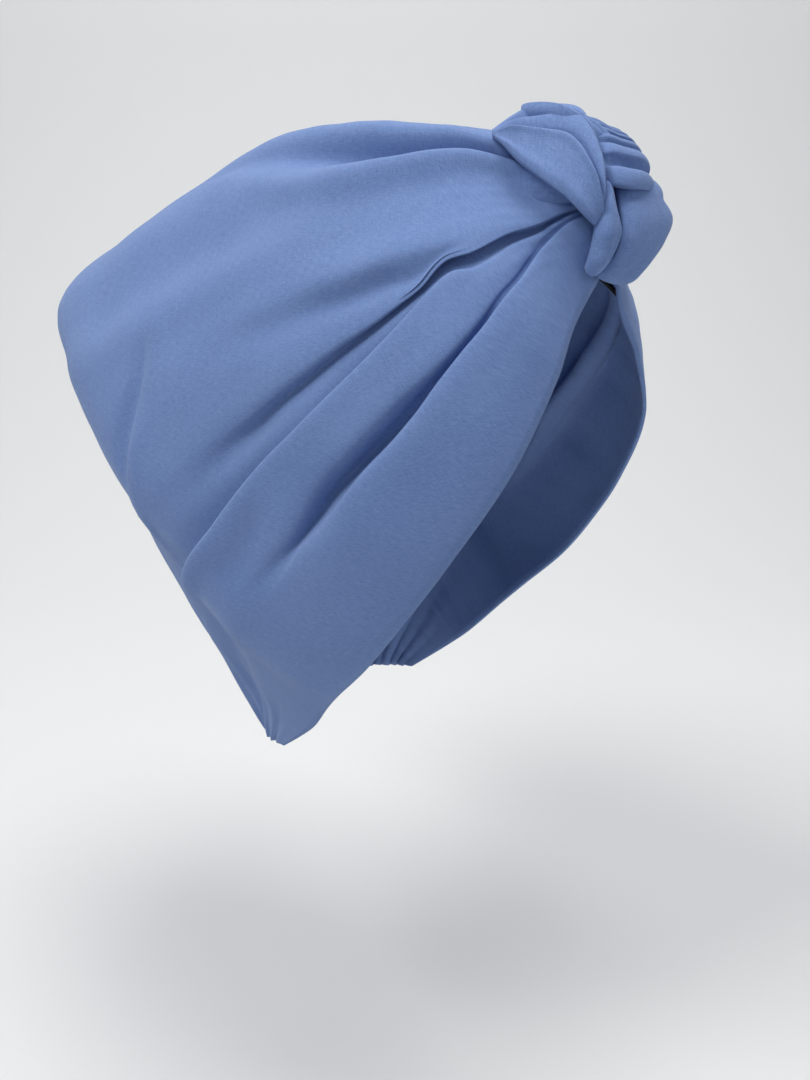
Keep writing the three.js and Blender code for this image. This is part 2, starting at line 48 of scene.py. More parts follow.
KNOT_CENTRE = np.array([0.0, -0.215 * CROWN_LENGTH, 0.475 * CROWN_HEIGHT])
HEAD_RADII = np.array([0.876 * CROWN_HALF, 0.363 * CROWN_LENGTH, 0.46 * CROWN_HEIGHT])
CROWN_SECTIONS = 200
SHARE_STEP = 0.004
RUN_STEP = 0.006
RUN_BUNCHING = 0.055
FRONT_GATHER = 0.16
NAPE_GATHER = 0.9
GATHER_REACH = 0.10
KNOT_ROWS_UNDER = (3.0, 6.0, 9.0)
BAND_WIDTH = 28.0
BAND_CLOTH = 60.0
BAND_STEPS_PER_MM = 80 / 30
NARROW_BAND = 22.0
PIECE_CLOTH_SHIFT = 37.0
CLOTH_UNIT = 100.0

# Sections of the crown from the front (run 0) to the nape (run 1): run, hem y and z, hem x on
# the near side, top y and z, half width, squareness, hem x on the far side. The y values are
# shares of CROWN_LENGTH, the z values of CROWN_HEIGHT and the x values of CROWN_HALF.
# The rows were fitted to the outline in the photograph.
SECTION_ROWS = np.array([
    [0.00, -0.270, 0.372, 0.090, -0.225, 0.500, 0.170, 2.00, 0.055],
    [0.05, -0.264, 0.312, 0.250, -0.084, 0.545, 0.370, 1.90, 0.170],
    [0.10, -0.268, 0.250, 0.387, -0.006, 0.555, 0.570, 2.00, 0.320],
    [0.20, -0.251, 0.141, 0.597, 0.116, 0.563, 0.752, 2.00, 0.575],
    [0.35, -0.191, 0.014, 0.758, 0.290, 0.549, 0.902, 1.95, 0.755],
    [0.50, -0.130, -0.086, 0.828, 0.487, 0.468, 0.988, 2.15, 0.828],
    [0.60, -0.075, -0.163, 0.846, 0.601, 0.402, 1.025, 2.45, 0.846],
    [0.70, -0.008, -0.236, 0.803, 0.728, 0.313, 1.035, 2.70, 0.803],
    [0.78, 0.029, -0.278, 0.755, 0.692, 0.180, 0.915, 2.60, 0.755],
    [0.86, 0.080, -0.339, 0.672, 0.610, 0.000, 0.784, 2.40, 0.672],
    [0.93, 0.123, -0.380, 0.633, 0.462, -0.232, 0.650, 2.35, 0.633],
    [1.00, 0.189, -0.437, 0.555, 0.312, -0.447, 0.540, 2.10, 0.555],
])
# Fold lines from the hem to the middle of the top. Each row holds a run, then the place of
# every line as a share of the section's length.
STATIONS = ["hem", "band", "band_edge", "band_under", "valley", "roll_low", "roll_crest",
            "roll_edge", "roll_under", "strip", "panel_under", "panel_edge", "panel_roll",
            "panel_hollow", "panel_ridge", "panel", "panel_back", "top_ridge", "top_low",
            "top_high", "middle"]
STATION_ROWS = np.array([
    [0.00, 0, .150, .250, .255, .258, .259, .266, .274, .278, .281,
     .283, .286, .292, .296, .302, .325, .350, .372, .395, .420, .500],
    [0.03, 0, .120, .172, .176, .179, .185, .193, .203, .207, .210,
     .213, .218, .223, .230, .240, .295, .345, .384, .398, .425, .500],
    [0.06, 0, .090, .133, .138, .140, .144, .163, .184, .191, .197,
     .202, .204, .210, .220, .232, .290, .340, .385, .400, .425, .500],
    [0.09, 0, .078, .124, .128, .131, .135, .158, .180, .187, .193,
     .198, .200, .206, .216, .230, .288, .334, .376, .401, .428, .500],
    [0.12, 0, .070, .117, .120, .122, .126, .163, .194, .198, .202,
     .206, .208, .212, .218, .230, .286, .331, .370, .402, .430, .500],
    [0.16, 0, .065, .114, .117, .119, .122, .158, .188, .191, .193,
     .196, .199, .206, .215, .239, .286, .330, .369, .405, .435, .500],
    [0.20, 0, .060, .110, .114, .118, .122, .152, .180, .184, .188,
     .191, .197, .210, .226, .245, .287, .330, .369, .415, .445, .500],
    [0.25, 0, .056, .103, .110, .116, .123, .148, .173, .178, .184,
     .189, .195, .212, .231, .250, .292, .337, .374, .422, .450, .500],
    [0.30, 0, .053, .099, .107, .113, .121, .145, .168, .173, .180,
     .187, .195, .216, .237, .257, .300, .345, .382, .426, .453, .500],
    [0.36, 0, .049, .097, .104, .111, .118, .141, .163, .168, .176,
     .185, .194, .218, .241, .263, .308, .357, .400, .435, .458, .500],
    [0.42, 0, .045, .091, .100, .108, .116, .138, .158, .164, .173,
     .184, .193, .222, .247, .270, .312, .367, .425, .446, .465, .500],
    [0.47, 0, .043, .087, .095, .101, .109, .134, .155, .161, .170,
     .182, .193, .224, .250, .273, .312, .370, .430, .449, .467, .500],
    [0.52, 0, .043, .087, .092, .096, .102, .130, .151, .158, .168,
     .182, .195, .226, .251, .273, .310, .368, .430, .449, .467, .500],
    [0.58, 0, .042, .082, .088, .094, .102, .126, .146, .154, .166,
     .181, .196, .226, .250, .271, .305, .365, .428, .448, .467, .500],
    [0.65, 0, .041, .078, .086, .093, .101, .121, .139, .149, .163,
     .180, .196, .224, .247, .268, .300, .360, .424, .446, .467, .500],
    [0.72, 0, .041, .075, .084, .092, .100, .117, .133, .144, .160,
     .178, .194, .222, .244, .265, .298, .355, .418, .444, .467, .500],
    [0.80, 0, .042, .076, .086, .094, .103, .118, .136, .148, .164,
     .180, .194, .222, .244, .266, .300, .352, .410, .440, .468, .500],
    [0.90, 0, .046, .090, .102, .112, .124, .144, .162, .174, .190,
     .206, .220, .246, .266, .288, .316, .358, .404, .438, .470, .500],
    [1.00, 0, .055, .105, .120, .132, .146, .168, .190, .200, .218,
     .236, .252, .276, .294, .312, .338, .370, .410, .442, .472, .500],
])
# Height of the same lines at each run, as shares of FOLD.
HEIGHT_ROWS = np.array([
    [0.00, 0, .40, .42, .10, .08, .08, .10, .10, .06, .02,
     -.05, .22, .26, .26, .26, .10, .05, .20, -.10, .20, .05],
    [0.03, 0, .55, .62, .05, .05, .10, .18, .15, .06, 0,
     -.12, .42, .46, .46, .44, .10, .05, .50, -.50, .50, -.05],
    [0.06, 0, .62, .70, 0, 0, .12, .24, .20, .03, 0,
     -.10, .52, .56, .57, .55, .12, .05, .70, -1.00, .65, -.10],
    [0.09, 0, .62, .72, 0, -.02, .15, .30, .26, .03, -.01,
     -.13, .54, .58, .58, .60, .12, .05, .80, -1.40, .70, -.10],
    [0.12, 0, .58, .70, -.10, -.12, .18, .36, .34, -.03, -.04,
     -.19, .46, .48, .42, .64, .12, .05, .85, -1.60, .70, -.10],
    [0.16, 0, .50, .64, -.30, -.40, .20, .42, .42, -.08, -.06,
     -.27, .18, .18, .02, .66, .10, .05, .85, -1.50, .65, -.10],
    [0.20, 0, .44, .60, -.50, -.72, .20, .46, .48, -.10, -.06,
     -.30, .15, .18, -.12, .64, .08, .05, .80, -1.30, .55, -.10],
    [0.25, 0, .38, .54, -.60, -.96, .20, .48, .52, -.12, -.06,
     -.31, .20, .24, -.14, .56, .05, .05, .65, -1.05, .40, -.08],
    [0.30, 0, .34, .50, -.65, -1.12, .20, .50, .56, -.12, -.06,
     -.33, .24, .30, -.06, .46, .02, .05, .50, -.75, .30, -.05],
    [0.36, 0, .30, .48, -.60, -1.20, .16, .52, .60, -.14, -.06,
     -.38, .26, .36, .08, .36, 0, .05, .30, -.40, .16, -.05],
    [0.42, 0, .26, .46, -.50, -1.16, .10, .52, .64, -.15, -.07,
     -.45, .22, .34, .16, .28, 0, .04, .24, -.20, .10, -.03],
    [0.47, 0, .22, .42, -.40, -.96, .05, .52, .67, -.39, -.23,
     -.68, .10, .26, .20, .20, 0, .02, .18, -.08, .08, 0],
    [0.52, 0, .18, .32, -.20, -.56, .06, .50, .68, -.68, -.39,
     -.65, 0, .16, .20, .15, 0, 0, .14, -.04, .06, 0],
    [0.58, 0, .12, .16, -.05, -.20, .06, .50, .68, -.85, -.40,
     -.40, -.04, .08, .12, .10, 0, 0, .10, 0, .05, 0],
    [0.65, 0, .08, .08, .02, -.03, .08, .58, .81, -1.00, -.42,
     -.21, 0, .06, .08, .06, 0, 0, .07, 0, .04, 0],
    [0.72, 0, .06, .06, .02, 0, .10, .54, .74, -.89, -.50, -.21, 0, .05, .05, .05, 0, 0, .05, 0, .04, 0],
    [0.80, 0, .04, .06, -.08, -.11, -.06, .38, .50, -.50, -.34,
     -.10, .05, .10, .05, -.05, .05, .06, -.05, .04, -.04, .05],
    [0.90, 0, .02, .06, -.22, -.19, -.10, .34, .42, -.40, -.30,
     -.05, .15, .28, .05, -.28, .22, -.20, .18, -.22, .20, -.20],
    [1.00, 0, 0, .06, -.14, -.11, -.08, .20, .25, -.25, -.20,
     0, .15, .28, 0, -.28, .26, -.24, .24, -.26, .24, -.24],
])
# How far the cloth tucks under itself at three folds, in millimetres along the section: run,
# then behind the band's edge, behind the roll's edge and behind the panel's lower edge.
LAP_ROWS = np.array([
    [0.00, 0.0, 0.0, 0.5],
    [0.03, 1.5, 0.0, 1.2],
    [0.06, 2.5, 0.0, 2.5],
    [0.09, 3.2, 0.5, 3.5],
    [0.12, 3.5, 2.5, 4.0],
    [0.16, 3.5, 4.2, 4.0],
    [0.20, 3.5, 4.5, 4.0],
    [0.30, 2.0, 4.5, 4.0],
    [0.40, 1.0, 4.8, 3.4],
    [0.50, 0.0, 5.5, 1.5],
    [0.60, 0.0, 6.5, 0.0],
    [0.70, 0.0, 6.0, 0.0],
    [0.85, 0.0, 5.0, 0.0],
    [1.00, 0.0, 2.0, 0.0],
])

# Bands of the knot: one edge (x, y, z) and the other edge (x, y, z) from KNOT_CENTRE, then the
# bulge in front and behind, all as shares of KNOT_SIZE.
LOOP_ROWS = np.array([
    [-0.221, 0.418, 0.279, -0.188, 0.440, 0.302, 0.015, 0.045],
    [-0.281, 0.307, 0.226, -0.046, 0.393, 0.381, 0.045, 0.091],
    [-0.333, 0.165, 0.139, 0.062, 0.323, 0.431, 0.085, 0.136],
    [-0.348, -0.012, 0.035, 0.096, 0.101, 0.422, 0.095, 0.152],
    [-0.333, -0.090, -0.017, 0.006, -0.047, 0.325, 0.090, 0.152],
    [-0.324, -0.164, -0.076, -0.085, -0.161, 0.188, 0.075, 0.136],
    [-0.290, -0.215, -0.131, -0.151, -0.221, 0.062, 0.055, 0.106],
    [-0.252, -0.231, -0.159, -0.218, -0.232, -0.077, 0.030, 0.061],
    [-0.236, -0.230, -0.168, -0.231, -0.231, -0.158, 0.008, 0.023],
])
PLEATS_ROWS = np.array([
    [-0.113, -0.205, 0.027, 0.130, 0.130, 0.400, 0.040, 0.076],
    [-0.100, -0.268, 0.027, 0.205, 0.065, 0.368, 0.055, 0.106],
    [-0.042, -0.318, 0.020, 0.285, 0.030, 0.332, 0.055, 0.130],
    [0.068, -0.341, 0.010, 0.375, 0.000, 0.305, 0.055, 0.152],
    [0.190, -0.315, -0.010, 0.440, 0.020, 0.240, 0.055, 0.136],
    [0.290, -0.240, -0.040, 0.460, 0.070, 0.170, 0.050, 0.121],
    [0.350, -0.150, -0.090, 0.460, 0.110, 0.100, 0.045, 0.076],
])
TAIL_ROWS = np.array([
    [0.068, -0.146, 0.060, 0.465, -0.191, 0.050, 0.045, 0.076],
    [-0.032, -0.233, -0.003, 0.421, -0.277, -0.017, 0.061, 0.106],
    [-0.073, -0.275, -0.080, 0.405, -0.290, -0.078, 0.076, 0.121],
    [-0.099, -0.305, -0.150, 0.445, -0.337, -0.161, 0.076, 0.121],
    [-0.119, -0.317, -0.221, 0.372, -0.336, -0.244, 0.076, 0.121],
    [-0.133, -0.305, -0.286, 0.261, -0.334, -0.323, 0.076, 0.121],
    [-0.170, -0.285, -0.343, 0.151, -0.331, -0.400, 0.061, 0.106],
    [-0.192, -0.250, -0.387, 0.041, -0.319, -0.461, 0.045, 0.076],
    [-0.200, -0.222, -0.407, -0.076, -0.256, -0.448, 0.023, 0.045],
])
TUCK_ROWS = np.array([
    [-0.043, -0.134, 0.047, -0.009, -0.175, 0.061, 0.030, 0.061],
    [-0.136, -0.196, -0.002, -0.074, -0.225, 0.005, 0.045, 0.076],
    [-0.206, -0.222, -0.078, -0.114, -0.271, -0.079, 0.053, 0.091],
    [-0.244, -0.235, -0.147, -0.119, -0.303, -0.150, 0.053, 0.091],
    [-0.265, -0.241, -0.210, -0.120, -0.316, -0.199, 0.053, 0.091],
    [-0.271, -0.236, -0.267, -0.144, -0.309, -0.271, 0.045, 0.091],
    [-0.282, -0.229, -0.331, -0.172, -0.282, -0.343, 0.045, 0.076],
    [-0.274, -0.217, -0.387, -0.204, -0.240, -0.398, 0.030, 0.061],
    [-0.264, -0.212, -0.402, -0.242, -0.219, -0.409, 0.015, 0.030],
])
# Layers and pleats across each band: place across the band's width, height (mm).
LOOP_PROFILE = [(0, 0), (.08, .8), (.26, .5), (.46, 1.6), (.565, 3.0), (.60, 2.4), (.60, .4),
                (.575, -1.8), (.63, -2.0), (.69, .2), (.77, 1.5), (.82, 1.7),
                (.84, .8), (.82, -1.6), (.87, -1.8), (.93, .4), (1, 0)]
PLEATS_PROFILE = [(0, 0), (.06, 1.0), (.13, 1.2), (.185, .2), (.175, -1.8), (.25, -2.2),
                  (.30, -.6), (.33, 1.2), (.42, 1.3), (.47, .2), (.46, -1.5), (.50, -1.0), (.55, .9),
                  (.60, .7), (.595, -1.0),
                  (.64, -.8), (.67, .8), (.72, .6), (.715, -1.0), (.75, -.6), (.79, .7), (.83, .3),
                  (.83, -.9), (.87, -.3), (.91, .5), (.95, -.4), (1, 0)]
TAIL_PROFILE = [(0, 0), (.08, .9), (.2, .8), (.45, .1), (.62, .5), (.8, 1.0), (.92, .4), (1, 0)]
TUCK_PROFILE = [(0, 0), (.25, .6), (.5, .1), (.7, -.6), (.85, .5), (1, 0)]
# Where the loop's two upper layers end: run along the loop, then the ends of the first and of
# the second layer across it. LAYER_PLACES are about the same ends in LOOP_PROFILE.
LAYER_PLACES = (0.59, 0.83)
LAYER_ROWS = np.array([
    [0.000, 0.25, 0.45],
    [0.125, 0.28, 0.50],
    [0.250, 0.35, 0.56],
    [0.375, 0.46, 0.77],
    [0.500, 0.53, 0.90],
    [0.625, 0.54, 0.92],
    [0.750, 0.50, 0.86],
    [0.875, 0.55, 0.85],
    [1.000, 0.60, 0.85],
])


def columns_at(rows, run):
    """All columns of a table at one run, on one smooth curve through its rows."""
    keys = rows[:, 0]
    r = min(max(run, keys[0]), keys[-1])
    i = int(np.clip(np.searchsorted(keys, r, side="right") - 1, 0, len(keys) - 2))

    def slope(k):
        lo, hi = max(0, k - 1), min(len(keys) - 1, k + 1)
        return (rows[hi, 1:] - rows[lo, 1:]) / (keys[hi] - keys[lo])

    h = keys[i + 1] - keys[i]
    t = (r - keys[i]) / h
    return ((2 * t**3 - 3 * t**2 + 1) * rows[i, 1:] + (t**3 - 2 * t**2 + t) * h * slope(i)
            + (3 * t**2 - 2 * t**3) * rows[i + 1, 1:] + (t**3 - t**2) * h * slope(i + 1))


def smooth_line(points, params, sub):
    """A smooth line through points, with sub[i] steps from point i to the next."""
    p = np.asarray(points, float)
    out, where = [], []
    for i in range(len(p) - 1):
        a, b = p[i], p[i + 1]
        before = p[i - 1] if i > 0 else 2 * a - b
        after = p[i + 2] if i + 2 < len(p) else 2 * b - a
        d0 = max(np.linalg.norm(a - before), 1e-6) ** 0.5
        d1 = max(np.linalg.norm(b - a), 1e-6) ** 0.5
        d2 = max(np.linalg.norm(after - b), 1e-6) ** 0.5
        m0 = (a - before) / d0 - (b - before) / (d0 + d1) + (b - a) / d1
        m1 = (b - a) / d1 - (after - a) / (d1 + d2) + (after - b) / d2
        m0, m1 = m0 * d1, m1 * d1
        t = np.arange(sub[i])[:, None] / sub[i]
        out.append((2 * t**3 - 3 * t**2 + 1) * a + (t**3 - 2 * t**2 + t) * m0
                   + (3 * t**2 - 2 * t**3) * b + (t**3 - t**2) * m1)
        where.append(params[i] + t[:, 0] * (params[i + 1] - params[i]))
    return np.vstack([*out, p[-1:]]), np.concatenate([*where, [params[-1]]])


def section_line(run, count=480):
    """One section of the smooth form: its points and its running length."""
    hem_y, hem_z, near_x, top_y, top_z, wide, square, far_x = columns_at(SECTION_ROWS, run)
    turn = np.linspace(0, 1, count)
    hem_x = np.where(turn > 0.5, far_x, near_x)
    c, s = np.cos(np.pi * turn), np.sin(np.pi * turn)
    power = 2 / square
    lift = np.abs(s) ** power
    side = -np.sign(c) * np.abs(c) ** power
    dy, dz = (top_y - hem_y) * CROWN_LENGTH, (top_z - hem_z) * CROWN_HEIGHT
    pull = 1 - (1 - hem_x / wide) * np.exp(-math.hypot(dy, dz) * lift / HEM_PULL)
    p = np.stack([wide * CROWN_HALF * side * pull, hem_y * CROWN_LENGTH + dy * lift,
                  hem_z * CROWN_HEIGHT + dz * lift], -1)
    length = np.r_[0, np.cumsum(np.linalg.norm(np.diff(p, axis=0), axis=1))]
    return p, length


def along(line, share):
    p, length = line
    goal = np.clip(share, 0, 1) * length[-1]
    return np.stack([np.interp(goal, length, p[:, k]) for k in range(3)], -1)


def stations(run, total):
    """Place (mm along the section) and height (mm) of every station, hem to hem."""
    at = columns_at(STATION_ROWS, run) * total
    rise = columns_at(HEIGHT_ROWS, run) * FOLD
    behind_band, behind_roll, behind_panel = columns_at(LAP_ROWS, run)
    at[STATIONS.index("band_under")] -= behind_band
    at[STATIONS.index("roll_under")] -= behind_roll
    at[STATIONS.index("panel_under")] += behind_panel
    near = np.stack([at, rise], -1)
    far = near[:-1][::-1].copy()
    far[:, 0] = total - far[:, 0]
    return np.vstack([near, far])


def ripples(run, share, mm):
    """Soft unevenness of worn cloth, and the fine gathers at the knot and the nape (mm)."""
    calm = np.clip((0.5 - np.abs(share - 0.5)) / 0.06, 0, 1)
    wave = (0.55 * np.sin(mm / 13 + 5 * run) * np.sin(9 * run + 1.3)
            + 0.35 * np.sin(mm / 7.3 - 11 * run + 2) * np.sin(17 * run)
            + 0.12 * np.sin(mm / 4.1 + 23 * run))
    front = math.exp(-run / GATHER_REACH) * FRONT_GATHER * np.sin(share * 210)
    nape = math.exp(-(1 - run) / GATHER_REACH) * NAPE_GATHER * np.sin(share * 190 + 1)
    return calm * (0.75 * wave * min(1, run / 0.2) + (front + nape) * calm)


# Soft creases over the bag: run and share of both ends, width (mm) and height (mm).
CREASES = [
    (0.24, 0.305, 0.74, 0.322, 11.0, 2.2),
    (0.30, 0.350, 0.80, 0.362, 12.0, -1.8),
    (0.42, 0.405, 0.86, 0.400, 11.0, 1.8),
    (0.56, 0.300, 0.72, 0.205, 5.0, -3.0),
    (0.60, 0.250, 0.80, 0.170, 6.0, 1.8),
    (0.52, 0.126, 0.66, 0.108, 7.0, -1.8),
    (0.58, 0.100, 0.84, 0.080, 8.0, 2.2),
    (0.62, 0.124, 0.84, 0.108, 6.0, -1.5),
    (0.24, 0.695, 0.74, 0.678, 11.0, 2.2),
    (0.30, 0.650, 0.80, 0.638, 12.0, -1.8),
    (0.42, 0.595, 0.86, 0.600, 11.0, 1.4),
    (0.60, 0.790, 0.84, 0.720, 7.0, -2.4),
]


def crease_height(run, mm, total):
    out = np.zeros_like(mm)
    for r0, a0, r1, a1, width, height in CREASES:
        t = (run - r0) / (r1 - r0)
        if -0.15 < t < 1.15:
            fade = math.exp(-(((t - 0.5) / 0.42) ** 4))
            out += height * fade * np.exp(-(((mm - (a0 + (a1 - a0) * t) * total) / width) ** 2))
    return out


def crown_grid(rows, sub):
    """Points of the crown's cloth, and their places on the flat cloth, section by section."""
    grid, cloth = [], []
    params = list(range(2 * len(STATIONS) - 1))
    run_mm = 0.0
    last_mid = None
    for i in range(rows):
        t = i / (rows - 1)
        run = t - RUN_BUNCHING * math.sin(2 * math.pi * t)
        line = section_line(run)
        ahead = section_line(min(1, run + RUN_STEP))
        behind = section_line(max(0, run - RUN_STEP))
        total = line[1][-1]
        flat, where = smooth_line(stations(run, total), params, sub)
        at, rise = flat[:, 0], flat[:, 1]
        share = at / total
        rise = rise + ripples(run, share, at) + crease_height(run, at, total)
        p = along(line, share)
        across = along(line, share + SHARE_STEP) - along(line, share - SHARE_STEP)
        forth = along(ahead, share) - along(behind, share)
        normal = np.cross(across, forth)
        normal /= np.linalg.norm(normal, axis=1)[:, None]
        points = p + normal * rise[:, None]
        mid = p[len(p) // 2]
        if last_mid is not None:
            run_mm += float(np.linalg.norm(mid - last_mid))
        last_mid = mid
        step = np.r_[0, np.cumsum(np.linalg.norm(np.diff(flat, axis=0), axis=1))]
        grid.append(points)
        cloth.append(np.stack([np.full(len(step), run_mm), step - step[-1] / 2], -1))
    # The cloth runs on under the knot in three more rows, drawn together a little.
    first = grid[0]
    ahead = first - grid[3]
    ahead /= np.linalg.norm(ahead, axis=1)[:, None]
    for reach in KNOT_ROWS_UNDER:
        grid.insert(0, first + ahead * reach * 0.9 - (first - first.mean(0)) * 0.012 * reach)
        cloth.insert(0, cloth[0] - np.array([KNOT_ROWS_UNDER[0], 0]))
    return np.array(grid), np.array(cloth)


def mesh_object(name, points, faces, cloth):
    """An object from points in millimetres, with the cloth's flat places as its UV layer."""
    mesh = bpy.data.meshes.new(name)
    mesh.from_pydata((np.asarray(points) / 1000).tolist(), [], [list(map(int, f)) for f in faces])
    mesh.update()
    layer = mesh.uv_layers.new(name="cloth")
    index = np.empty(len(mesh.loops), dtype=np.int32)
    mesh.loops.foreach_get("vertex_index", index)
    layer.data.foreach_set("uv", (np.asarray(cloth)[index] / CLOTH_UNIT).astype(np.float32).ravel())
    mesh.polygons.foreach_set("use_smooth", [True] * len(mesh.polygons))
    obj = bpy.data.objects.new(name, mesh)
    bpy.context.scene.collection.objects.link(obj)
    return obj


def thicken(obj, wall):
    """Give a cloth its thickness, inward from the drawn surface."""
    solid = obj.modifiers.new("thickness", "SOLIDIFY")
    solid.thickness = wall / 1000
    solid.offset = -1
    solid.use_even_offset = False


def grid_faces(rows, cols, closed=False, flip=False):
    i, j = np.meshgrid(np.arange(rows - 1), np.arange(cols if closed else cols - 1), indexing="ij")
    k = (j + 1) % cols
    corners = [i * cols + j, (i + 1) * cols + j, (i + 1) * cols + k, i * cols + k]
    f = np.stack(corners, -1).reshape(-1, 4)
    return f[:, ::-1] if flip else f


# Crown
# Mesh steps from each fold line to the next, hem to middle
SUB_NEAR = [6, 8, 5, 4, 4, 6, 6, 5, 4, 4, 5, 4, 4, 5, 8, 7, 6, 6, 5, 8]


def make_crown():
    grid, cloth = crown_grid(CROWN_SECTIONS, SUB_NEAR + SUB_NEAR[::-1])
    faces = grid_faces(*grid.shape[:2], flip=True)
    obj = mesh_object("crown_cloth", grid.reshape(-1, 3), faces, cloth.reshape(-1, 2))
    thicken(obj, WALL)
    return obj


# Knot
def band(rows, profile, side=1, layers=None, bulge=1.0, fade_ends=6.0, steps=90, behind=14):
    """A closed band of cloth between two edges, with its layers or pleats on the front."""
    keyed = np.column_stack([np.linspace(0, 1, len(rows)), rows])
    prof = np.array(profile, float)
    prof[:, 0] *= BAND_WIDTH
    gaps = np.linalg.norm(np.diff(prof, axis=0), axis=1)
    sub = [max(3, int(round(BAND_STEPS_PER_MM * d))) for d in gaps]
    flat, _ = smooth_line(prof, list(range(len(prof))), sub)
    place, height = flat[:, 0] / BAND_WIDTH, flat[:, 1]
    rings, cloth = [], []
    scale = np.array([side, 1, 1]) * KNOT_SIZE
    for i in range(steps + 1):
        at = i / steps
        row = columns_at(keyed, at)
        nxt, prv = columns_at(keyed, min(1, at + 0.02)), columns_at(keyed, max(0, at - 0.02))
        edge, other = row[:3] * scale + KNOT_CENTRE, row[3:6] * scale + KNOT_CENTRE
        mid = (edge + other) / 2
        forth = ((nxt[:3] + nxt[3:6]) - (prv[:3] + prv[3:6])) / 2 * scale
        span = other - edge
        normal = np.cross(span, forth)
        normal /= np.linalg.norm(normal)
        if normal @ (mid - KNOT_CENTRE) < 0:
            normal = -normal
        width = place
        if layers is not None:
            first, second = columns_at(layers, at)
            width = np.interp(place, [0, *LAYER_PLACES, 1], [0, first, second, 1])
        fade = min(1, fade_ends * min(at, 1 - at))
        reach = min(1.0, np.linalg.norm(span) / NARROW_BAND)
        arch = np.sin(np.pi * np.clip(width, 0, 1)) ** 0.7
        rise = bulge * row[6] * KNOT_SIZE * arch + height * fade * reach
        face = edge + span * width[:, None] + normal * rise[:, None]
        t = 1 - np.arange(1, behind) / behind
        sink = row[7] * KNOT_SIZE * np.sin(np.pi * t) ** 0.7
        back = edge + span * t[:, None] - normal * sink[:, None]
        ring = np.vstack([face, back])
        rings.append(ring)
        step = np.r_[0, np.cumsum(np.linalg.norm(np.diff(ring, axis=0), axis=1))]
        cloth.append(np.stack([np.full(len(ring), at * BAND_CLOTH), step], -1))
    rings, cloth = np.array(rings), np.array(cloth)
    n = rings.shape[1]
    points = rings.reshape(-1, 3)
    uv = cloth.reshape(-1, 2)
    faces = grid_faces(steps + 1, n, closed=True).tolist()
    for ring, start, flip in ((rings[0], 0, True), (rings[-1], steps * n, False)):
        index = len(points)
        points = np.vstack([points, ring.mean(0)])
        uv = np.vstack([uv, uv[start]])
        for j in range(n):
            a, b = start + j, start + (j + 1) % n
            faces.append([index, b, a] if flip else [index, a, b])
    return points, faces, uv


def ball(centre, radii, across=64, up=40):
    """An ellipsoid, for the gathered cloth inside the knot."""
    points, faces = [], []
    for i in range(1, up):
        a = math.pi * i / up
        for j in range(across):
            b = 2 * math.pi * j / across
            points.append([math.sin(a) * math.cos(b), math.sin(a) * math.sin(b), math.cos(a)])
    top, bottom = len(points), len(points) + 1
    points += [[0, 0, 1], [0, 0, -1]]
    faces = grid_faces(up - 1, across, closed=True).tolist()
    for j in range(across):
        k = (j + 1) % across
        faces.append([top, j, k])
        faces.append([bottom, (up - 2) * across + k, (up - 2) * across + j])
    p = np.array(points)
    return p * radii + centre, faces, p[:, [0, 2]] * 30


def outward(points, faces):
    """The same faces, turned so that they face out of the closed form."""
    total = 0.0
    for f in faces:
        for k in range(1, len(f) - 1):
            total += points[f[0]] @ np.cross(points[f[k]], points[f[k + 1]])
    return faces if total > 0 else [f[::-1] for f in faces]


def make_knot():
    core_place = KNOT_CENTRE + np.array([0.03, 0.10, 0.03]) * KNOT_SIZE
    parts = [
        band(LOOP_ROWS, LOOP_PROFILE, layers=LAYER_ROWS, bulge=0.6),
        band(PLEATS_ROWS, PLEATS_PROFILE),
        band(TUCK_ROWS, TUCK_PROFILE),
        band(TAIL_ROWS, TAIL_PROFILE),
        band(LOOP_ROWS, LOOP_PROFILE, side=-1, layers=LAYER_ROWS, bulge=0.6),
        ball(core_place, np.array([0.30, 0.26, 0.30]) * KNOT_SIZE),
    ]
    all_points, all_faces, all_uv = [], [], []
    shift = 0
    for n, (points, faces, uv) in enumerate(parts):
        all_points.append(points)
        all_faces += [[v + shift for v in f] for f in outward(points, faces)]
        all_uv.append(uv + np.array([0, PIECE_CLOTH_SHIFT * n]))
        shift += len(points)
    return mesh_object("knot_cloth", np.vstack(all_points), all_faces, np.vstack(all_uv))


# Painted shade: a near-black sheet in the shaded hollow under the knot, between the brow and the far hem
BROW_WALL = 1.4
BROW_STAND = 0.6
BROW_WIDTH = 26.0
BROW_REACH = 0.20 * CROWN_HALF
BROW_PEAK = 0.3735 * CROWN_HEIGHT
BROW_SLOPE = 0.92
BROW_ROUND = 6.0
BROW_BELOW = 8.0


def brow_grid(columns=60, rows=16):
    """Points of the near-black sheet of painted shade, on an ellipsoid that follows the inside of the
    cap.
    """
    out = []
    for i in range(columns + 1):
        x = -BROW_REACH + (BROW_REACH + BROW_REACH) * i / columns
        low = BROW_PEAK - BROW_SLOPE * (math.hypot(x, BROW_ROUND) - BROW_ROUND)
        r = HEAD_RADII + BROW_STAND + BROW_WALL
        line = []
        for j in range(rows + 1):
            top = HEAD_RADII[2] - BROW_BELOW * (1 - 0.5 * j / rows)
            z = min(low + BROW_WIDTH * j / rows, top)
            y = -r[1] * math.sqrt(max(0, 1 - (x / r[0]) ** 2 - (z / r[2]) ** 2))
            line.append([x, y, z])
        out.append(line)
    return np.array(out)


def make_brow():
    points = brow_grid()
    rows, cols = points.shape[:2]
    uv = np.stack(np.meshgrid(np.arange(rows) * 1.0, np.arange(cols) * 1.6, indexing="ij"), -1)
    faces = grid_faces(rows, cols, flip=True)
    obj = mesh_object("brow_shade_sheet", points.reshape(-1, 3), faces, uv.reshape(-1, 2))
    thicken(obj, BROW_WALL)
    return obj


crown = make_crown()
knot = make_knot()
brow = make_brow()


